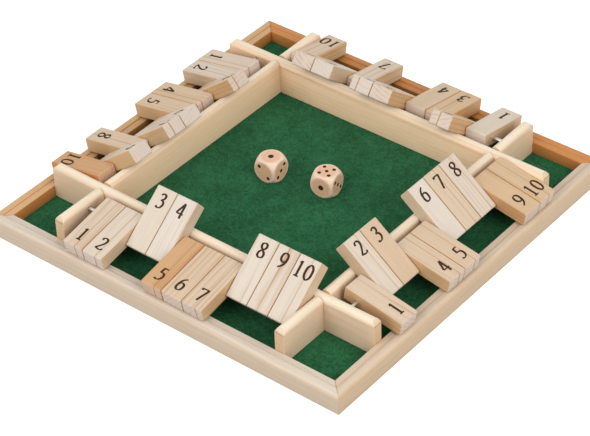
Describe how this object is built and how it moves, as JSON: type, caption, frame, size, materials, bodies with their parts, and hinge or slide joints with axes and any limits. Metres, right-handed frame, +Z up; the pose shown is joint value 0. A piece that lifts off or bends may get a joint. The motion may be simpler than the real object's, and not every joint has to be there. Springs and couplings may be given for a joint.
{
  "type": "shut the box game",
  "caption": "Square wooden dice tray with a felt floor and rows of hinged number tiles on every side, which flip up off the rail and lean on the tray wall; with loose dice.",
  "frame": {"origin": "middle of the underside, on the surface that the board rests on", "axes": "+Z up; -Y is the front side, whose tile 1 is at -X and tile 10 at +X"},
  "size_m": [0.305, 0.305, 0.0519],
  "materials": {
    "base_plywood": "plain plywood",
    "green_felt": "short felt",
    "rail_pine": "clear satin lacquer",
    "wall_pine": "clear satin lacquer",
    "tile_pine": "clear satin lacquer",
    "steel_rod": "bright drawn wire",
    "die_wood": "waxed, pips dark brown"
  },
  "bodies": {
    "board": {"base_board": "base_plywood", "felt": "green_felt", "front_rail": "rail_pine", "right_rail": "rail_pine", "back_rail": "rail_pine", "left_rail": "rail_pine", "front_wall": "wall_pine", "right_wall": "wall_pine", "back_wall": "wall_pine", "left_wall": "wall_pine", "front_left_divider": "wall_pine", "front_right_divider": "wall_pine", "back_left_divider": "wall_pine", "back_right_divider": "wall_pine", "front_rod": "steel_rod", "right_rod": "steel_rod", "back_rod": "steel_rod", "left_rod": "steel_rod"},
    "front_tile_1": {"front_tile_1": "tile_pine"},
    "front_tile_2": {"front_tile_2": "tile_pine"},
    "front_tile_3": {"front_tile_3": "tile_pine"},
    "front_tile_4": {"front_tile_4": "tile_pine"},
    "front_tile_5": {"front_tile_5": "tile_pine"},
    "front_tile_6": {"front_tile_6": "tile_pine"},
    "front_tile_7": {"front_tile_7": "tile_pine"},
    "front_tile_8": {"front_tile_8": "tile_pine"},
    "front_tile_9": {"front_tile_9": "tile_pine"},
    "front_tile_10": {"front_tile_10": "tile_pine"},
    "right_tile_1": {"right_tile_1": "tile_pine"},
    "right_tile_2": {"right_tile_2": "tile_pine"},
    "right_tile_3": {"right_tile_3": "tile_pine"},
    "right_tile_4": {"right_tile_4": "tile_pine"},
    "right_tile_5": {"right_tile_5": "tile_pine"},
    "right_tile_6": {"right_tile_6": "tile_pine"},
    "right_tile_7": {"right_tile_7": "tile_pine"},
    "right_tile_8": {"right_tile_8": "tile_pine"},
    "right_tile_9": {"right_tile_9": "tile_pine"},
    "right_tile_10": {"right_tile_10": "tile_pine"},
    "back_tile_1": {"back_tile_1": "tile_pine"},
    "back_tile_2": {"back_tile_2": "tile_pine"},
    "back_tile_3": {"back_tile_3": "tile_pine"},
    "back_tile_4": {"back_tile_4": "tile_pine"},
    "back_tile_5": {"back_tile_5": "tile_pine"},
    "back_tile_6": {"back_tile_6": "tile_pine"},
    "back_tile_7": {"back_tile_7": "tile_pine"},
    "back_tile_8": {"back_tile_8": "tile_pine"},
    "back_tile_9": {"back_tile_9": "tile_pine"},
    "back_tile_10": {"back_tile_10": "tile_pine"},
    "left_tile_1": {"left_tile_1": "tile_pine"},
    "left_tile_2": {"left_tile_2": "tile_pine"},
    "left_tile_3": {"left_tile_3": "tile_pine"},
    "left_tile_4": {"left_tile_4": "tile_pine"},
    "left_tile_5": {"left_tile_5": "tile_pine"},
    "left_tile_6": {"left_tile_6": "tile_pine"},
    "left_tile_7": {"left_tile_7": "tile_pine"},
    "left_tile_8": {"left_tile_8": "tile_pine"},
    "left_tile_9": {"left_tile_9": "tile_pine"},
    "left_tile_10": {"left_tile_10": "tile_pine"},
    "die_1": {"die_1": "die_wood"},
    "die_2": {"die_2": "die_wood"}
  },
  "joints": [
    {"name": "front_tile_1_hinge", "type": "hinge", "parent": "board", "child": "front_tile_1", "pos_m": [-0.0749, -0.11471, 0.0268], "axis": [-1, 0, 0], "range_deg": [0, 152.64]},
    {"name": "front_tile_2_hinge", "type": "hinge", "parent": "board", "child": "front_tile_2", "pos_m": [-0.05736, -0.11471, 0.0268], "axis": [-1, 0, 0], "range_deg": [0, 152.64]},
    {"name": "front_tile_3_hinge", "type": "hinge", "parent": "board", "child": "front_tile_3", "pos_m": [-0.03982, -0.11471, 0.0268], "axis": [-1, 0, 0], "range_deg": [-152.64, 0]},
    {"name": "front_tile_4_hinge", "type": "hinge", "parent": "board", "child": "front_tile_4", "pos_m": [-0.02228, -0.11471, 0.0268], "axis": [-1, 0, 0], "range_deg": [-152.64, 0]},
    {"name": "front_tile_5_hinge", "type": "hinge", "parent": "board", "child": "front_tile_5", "pos_m": [-0.00474, -0.11471, 0.0268], "axis": [-1, 0, 0], "range_deg": [0, 152.64]},
    {"name": "front_tile_6_hinge", "type": "hinge", "parent": "board", "child": "front_tile_6", "pos_m": [0.0128, -0.11471, 0.0268], "axis": [-1, 0, 0], "range_deg": [0, 152.64]},
    {"name": "front_tile_7_hinge", "type": "hinge", "parent": "board", "child": "front_tile_7", "pos_m": [0.03034, -0.11471, 0.0268], "axis": [-1, 0, 0], "range_deg": [0, 152.64]},
    {"name": "front_tile_8_hinge", "type": "hinge", "parent": "board", "child": "front_tile_8", "pos_m": [0.04788, -0.11471, 0.0268], "axis": [-1, 0, 0], "range_deg": [-152.64, 0]},
    {"name": "front_tile_9_hinge", "type": "hinge", "parent": "board", "child": "front_tile_9", "pos_m": [0.06542, -0.11471, 0.0268], "axis": [-1, 0, 0], "range_deg": [-152.64, 0]},
    {"name": "front_tile_10_hinge", "type": "hinge", "parent": "board", "child": "front_tile_10", "pos_m": [0.08296, -0.11471, 0.0268], "axis": [-1, 0, 0], "range_deg": [-152.64, 0]},
    {"name": "right_tile_1_hinge", "type": "hinge", "parent": "board", "child": "right_tile_1", "pos_m": [0.11471, -0.0749, 0.0268], "axis": [0, -1, 0], "range_deg": [0, 152.64]},
    {"name": "right_tile_2_hinge", "type": "hinge", "parent": "board", "child": "right_tile_2", "pos_m": [0.11471, -0.05736, 0.0268], "axis": [0, -1, 0], "range_deg": [-152.64, 0]},
    {"name": "right_tile_3_hinge", "type": "hinge", "parent": "board", "child": "right_tile_3", "pos_m": [0.11471, -0.03982, 0.0268], "axis": [0, -1, 0], "range_deg": [-152.64, 0]},
    {"name": "right_tile_4_hinge", "type": "hinge", "parent": "board", "child": "right_tile_4", "pos_m": [0.11471, -0.02228, 0.0268], "axis": [0, -1, 0], "range_deg": [0, 152.64]},
    {"name": "right_tile_5_hinge", "type": "hinge", "parent": "board", "child": "right_tile_5", "pos_m": [0.11471, -0.00474, 0.0268], "axis": [0, -1, 0], "range_deg": [0, 152.64]},
    {"name": "right_tile_6_hinge", "type": "hinge", "parent": "board", "child": "right_tile_6", "pos_m": [0.11471, 0.0128, 0.0268], "axis": [0, -1, 0], "range_deg": [-152.64, 0]},
    {"name": "right_tile_7_hinge", "type": "hinge", "parent": "board", "child": "right_tile_7", "pos_m": [0.11471, 0.03034, 0.0268], "axis": [0, -1, 0], "range_deg": [-152.64, 0]},
    {"name": "right_tile_8_hinge", "type": "hinge", "parent": "board", "child": "right_tile_8", "pos_m": [0.11471, 0.04788, 0.0268], "axis": [0, -1, 0], "range_deg": [-152.64, 0]},
    {"name": "right_tile_9_hinge", "type": "hinge", "parent": "board", "child": "right_tile_9", "pos_m": [0.11471, 0.06542, 0.0268], "axis": [0, -1, 0], "range_deg": [0, 152.64]},
    {"name": "right_tile_10_hinge", "type": "hinge", "parent": "board", "child": "right_tile_10", "pos_m": [0.11471, 0.08296, 0.0268], "axis": [0, -1, 0], "range_deg": [0, 152.64]},
    {"name": "back_tile_1_hinge", "type": "hinge", "parent": "board", "child": "back_tile_1", "pos_m": [0.0749, 0.11471, 0.0268], "axis": [1, 0, 0], "range_deg": [0, 152.64]},
    {"name": "back_tile_2_hinge", "type": "hinge", "parent": "board", "child": "back_tile_2", "pos_m": [0.05736, 0.11471, 0.0268], "axis": [1, 0, 0], "range_deg": [-152.64, 0]},
    {"name": "back_tile_3_hinge", "type": "hinge", "parent": "board", "child": "back_tile_3", "pos_m": [0.03982, 0.11471, 0.0268], "axis": [1, 0, 0], "range_deg": [0, 152.64]},
    {"name": "back_tile_4_hinge", "type": "hinge", "parent": "board", "child": "back_tile_4", "pos_m": [0.02228, 0.11471, 0.0268], "axis": [1, 0, 0], "range_deg": [0, 152.64]},
    {"name": "back_tile_5_hinge", "type": "hinge", "parent": "board", "child": "back_tile_5", "pos_m": [0.00474, 0.11471, 0.0268], "axis": [1, 0, 0], "range_deg": [-152.64, 0]},
    {"name": "back_tile_6_hinge", "type": "hinge", "parent": "board", "child": "back_tile_6", "pos_m": [-0.0128, 0.11471, 0.0268], "axis": [1, 0, 0], "range_deg": [-152.64, 0]},
    {"name": "back_tile_7_hinge", "type": "hinge", "parent": "board", "child": "back_tile_7", "pos_m": [-0.03034, 0.11471, 0.0268], "axis": [1, 0, 0], "range_deg": [0, 152.64]},
    {"name": "back_tile_8_hinge", "type": "hinge", "parent": "board", "child": "back_tile_8", "pos_m": [-0.04788, 0.11471, 0.0268], "axis": [1, 0, 0], "range_deg": [-152.64, 0]},
    {"name": "back_tile_9_hinge", "type": "hinge", "parent": "board", "child": "back_tile_9", "pos_m": [-0.06542, 0.11471, 0.0268], "axis": [1, 0, 0], "range_deg": [-152.64, 0]},
    {"name": "back_tile_10_hinge", "type": "hinge", "parent": "board", "child": "back_tile_10", "pos_m": [-0.08296, 0.11471, 0.0268], "axis": [1, 0, 0], "range_deg": [0, 152.64]},
    {"name": "left_tile_1_hinge", "type": "hinge", "parent": "board", "child": "left_tile_1", "pos_m": [-0.11471, 0.0749, 0.0268], "axis": [0, 1, 0], "range_deg": [0, 152.64]},
    {"name": "left_tile_2_hinge", "type": "hinge", "parent": "board", "child": "left_tile_2", "pos_m": [-0.11471, 0.05736, 0.0268], "axis": [0, 1, 0], "range_deg": [0, 152.64]},
    {"name": "left_tile_3_hinge", "type": "hinge", "parent": "board", "child": "left_tile_3", "pos_m": [-0.11471, 0.03982, 0.0268], "axis": [0, 1, 0], "range_deg": [-152.64, 0]},
    {"name": "left_tile_4_hinge", "type": "hinge", "parent": "board", "child": "left_tile_4", "pos_m": [-0.11471, 0.02228, 0.0268], "axis": [0, 1, 0], "range_deg": [0, 152.64]},
    {"name": "left_tile_5_hinge", "type": "hinge", "parent": "board", "child": "left_tile_5", "pos_m": [-0.11471, 0.00474, 0.0268], "axis": [0, 1, 0], "range_deg": [0, 152.64]},
    {"name": "left_tile_6_hinge", "type": "hinge", "parent": "board", "child": "left_tile_6", "pos_m": [-0.11471, -0.0128, 0.0268], "axis": [0, 1, 0], "range_deg": [-152.64, 0]},
    {"name": "left_tile_7_hinge", "type": "hinge", "parent": "board", "child": "left_tile_7", "pos_m": [-0.11471, -0.03034, 0.0268], "axis": [0, 1, 0], "range_deg": [-152.64, 0]},
    {"name": "left_tile_8_hinge", "type": "hinge", "parent": "board", "child": "left_tile_8", "pos_m": [-0.11471, -0.04788, 0.0268], "axis": [0, 1, 0], "range_deg": [0, 152.64]},
    {"name": "left_tile_9_hinge", "type": "hinge", "parent": "board", "child": "left_tile_9", "pos_m": [-0.11471, -0.06542, 0.0268], "axis": [0, 1, 0], "range_deg": [-152.64, 0]},
    {"name": "left_tile_10_hinge", "type": "hinge", "parent": "board", "child": "left_tile_10", "pos_m": [-0.11471, -0.08296, 0.0268], "axis": [0, 1, 0], "range_deg": [0, 152.64]},
    {"name": "die_1_lift", "type": "slide", "parent": "board", "child": "die_1", "axis": [0, 0, 1], "range_m": [0, 0.06]},
    {"name": "die_2_lift", "type": "slide", "parent": "board", "child": "die_2", "axis": [0, 0, 1], "range_m": [0, 0.06]}
  ]
}
